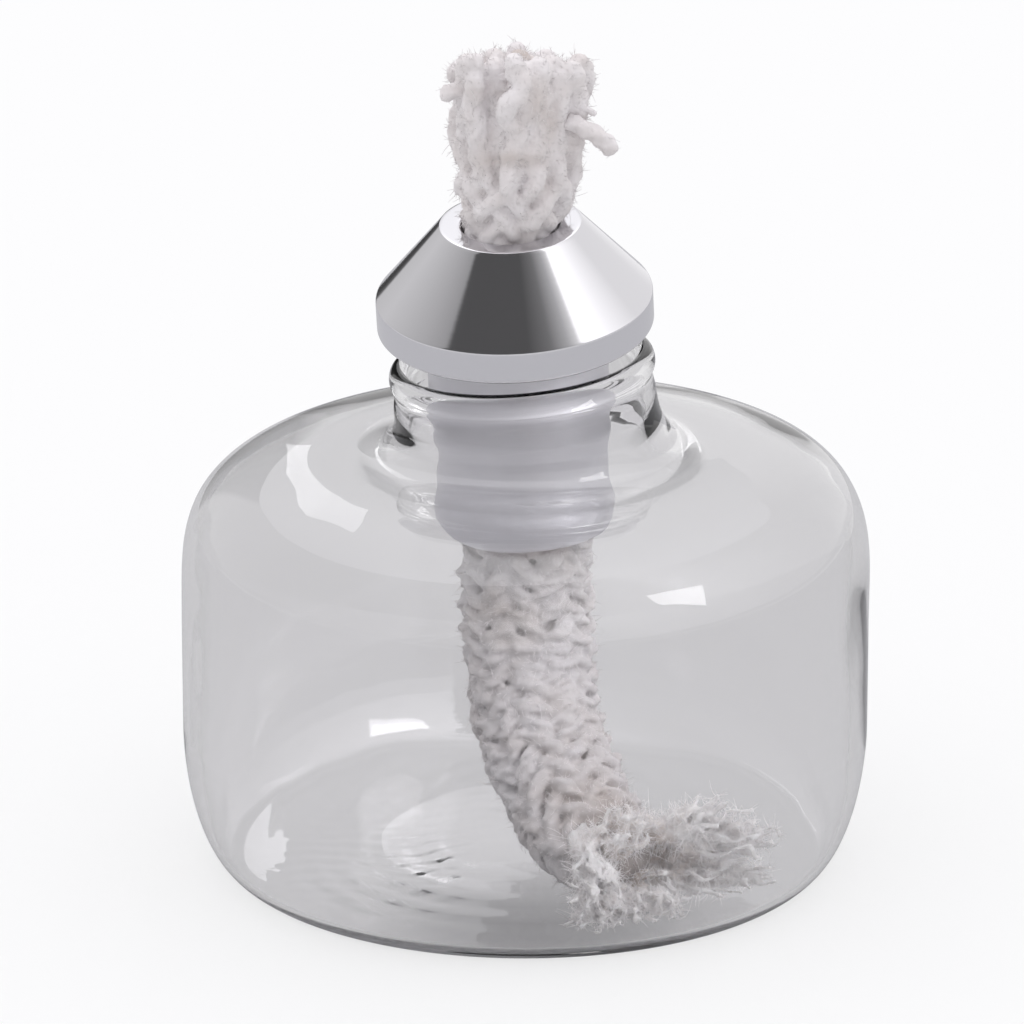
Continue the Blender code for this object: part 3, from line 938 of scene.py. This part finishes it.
def mirrored_way(x, y):
    """Where the sight line through the view's point x, y meets the glass, and the way it is mirrored there."""
    eye, way = EYE, sight(x, y)
    side = OUTSIDE[OUTSIDE[:, 0] > 20.9]
    side = side[np.argsort(side[:, 1])]
    q = eye + np.linspace(720, 880, 3200)[:, None] * way
    gap = np.hypot(q[:, 0], q[:, 1]) - np.interp(q[:, 2], side[:, 1], side[:, 0])
    hit = q[int(np.argmax((gap < 0) & (q[:, 2] > 0) & (q[:, 2] < 46.4)))]
    slope = (np.interp(hit[2] + 0.5, side[:, 1], side[:, 0]) - np.interp(hit[2] - 0.5, side[:, 1], side[:, 0])) / 1.0
    r = math.hypot(hit[0], hit[1])
    up = np.array([hit[0] / r, hit[1] / r, -slope])
    up /= np.linalg.norm(up)
    return hit, way - 2 * (way @ up) * up


OUTSIDE = outer_profile()


def glint(name, corners, strength, across=8, down=3):
    """A lit panel, in the shape that makes the glass mirror it as the patch with these corners in the view."""
    corners = np.array(corners, float)
    verts = []
    for v in np.linspace(0, 1, down + 1):
        for u in np.linspace(0, 1, across + 1):
            top, low = corners[0] * (1 - u) + corners[1] * u, corners[3] * (1 - u) + corners[2] * u
            at_glass, way = mirrored_way(*(top * (1 - v) + low * v))
            verts.append((at_glass + 450 * way) * MM)
    k = across + 1
    faces = [(j * k + i, j * k + i + 1, (j + 1) * k + i + 1, (j + 1) * k + i) for j in range(down) for i in range(across)]
    obj = link(name, verts, faces, stage_material(name + "_surface", (1, 1, 1), glow=strength), False)
    through_glass_only(obj)


def inner_sky():
    """A dome that lights what stands inside the glass, most from the front and the right. Its light fades without an edge, so the glass mirrors no shape of it."""
    verts, faces, tone = [], [], []
    around, rows = 60, 14
    key = (toward(42, 48, 1.0) - LAMP).normalized()
    for j in range(rows + 1):
        for i in range(around):
            q = toward(360 * i / around, 3 + 86.9 * j / rows, 0.95)
            verts.append(q)
            tone.append(0.85 + 2.3 * max(0.0, (q - LAMP).normalized() @ key) ** 2.2)
    for j in range(rows):
        for i in range(around):
            k = (i + 1) % around
            faces.append((j * around + i, j * around + k, (j + 1) * around + k, (j + 1) * around + i))
    mat = stage_material("inner_sky_surface", (0, 0, 0))
    glow_node = node(mat.node_tree, "ShaderNodeAttribute", attribute_name="glow")
    mat.node_tree.links.new(glow_node.outputs["Fac"], mat.node_tree.nodes["Principled BSDF"].inputs["Emission Strength"])
    obj = link("inner_sky", verts, faces, mat, False)
    obj.data.attributes.new("glow", "FLOAT", "POINT").data.foreach_set("value", np.array(tone, np.float32))
    through_glass_only(obj)


inner_sky()
glint("glint_right", ((652, 593), (724, 578), (726, 600), (664, 602)), 9.0)
glint("glint_left", ((364, 727), (422, 719), (422, 734), (372, 732)), 6.0)
for i, (corners, strength) in enumerate(
    (
        (((274, 440), (302, 438), (301, 465), (276, 472)), 1.7),
        (((276, 472), (301, 465), (322, 492), (298, 507)), 1.7),
        (((298, 507), (322, 492), (368, 508), (350, 526)), 1.4),
        (((322, 468), (352, 460), (388, 478), (350, 494)), 5.0),
    )
):
    glint(f"glint_shoulder_{i}", corners, strength)


# Grey cloth that only the bright metal mirrors, so that it doesn't wash out against the pale floor.
cloth = link("grey_cloth", [(-1, -1, 0.0002), (1, -1, 0.0002), (1, 1, 0.0002), (-1, 1, 0.0002)], [(0, 1, 2, 3)], stage_material("grey_cloth_surface", (0.44, 0.44, 0.45)), False)
cloth.visible_camera = cloth.visible_diffuse = cloth.visible_transmission = cloth.visible_shadow = False

world = bpy.data.worlds.new("studio")
scene.world = world
world.use_nodes = True
tree = world.node_tree
sky = tree.nodes["Background"]
sky.inputs["Color"].default_value = (0.985, 0.98, 1.0, 1)
direction = node(tree, "ShaderNodeTexCoord")
height = node(tree, "ShaderNodeSeparateXYZ")
tree.links.new(direction.outputs["Generated"], height.inputs["Vector"])
level = node(tree, "ShaderNodeMapRange", interpolation_type="SMOOTHSTEP")
tree.links.new(height.outputs["Z"], level.inputs["Value"])
level.inputs["From Min"].default_value = 0.20
level.inputs["From Max"].default_value = 1.0
level.inputs["To Min"].default_value = 0.66
level.inputs["To Max"].default_value = 1.75
tree.links.new(level.outputs["Result"], sky.inputs["Strength"])

camera_data = bpy.data.cameras.new("camera")
camera_data.lens = 7355 / 1024 * 36
camera_data.sensor_width = 36
camera_data.clip_end = 20
camera_data.clip_start = 0.05
camera = bpy.data.objects.new("camera", camera_data)
ELEV = math.radians(19)
camera.location = (-0.001414, -0.8 * math.cos(ELEV), 0.03907 + 0.8 * math.sin(ELEV))
camera.rotation_euler = (math.pi / 2 - ELEV, 0, 0)
scene.collection.objects.link(camera)
scene.camera = camera
scene.view_settings.view_transform = "Standard"
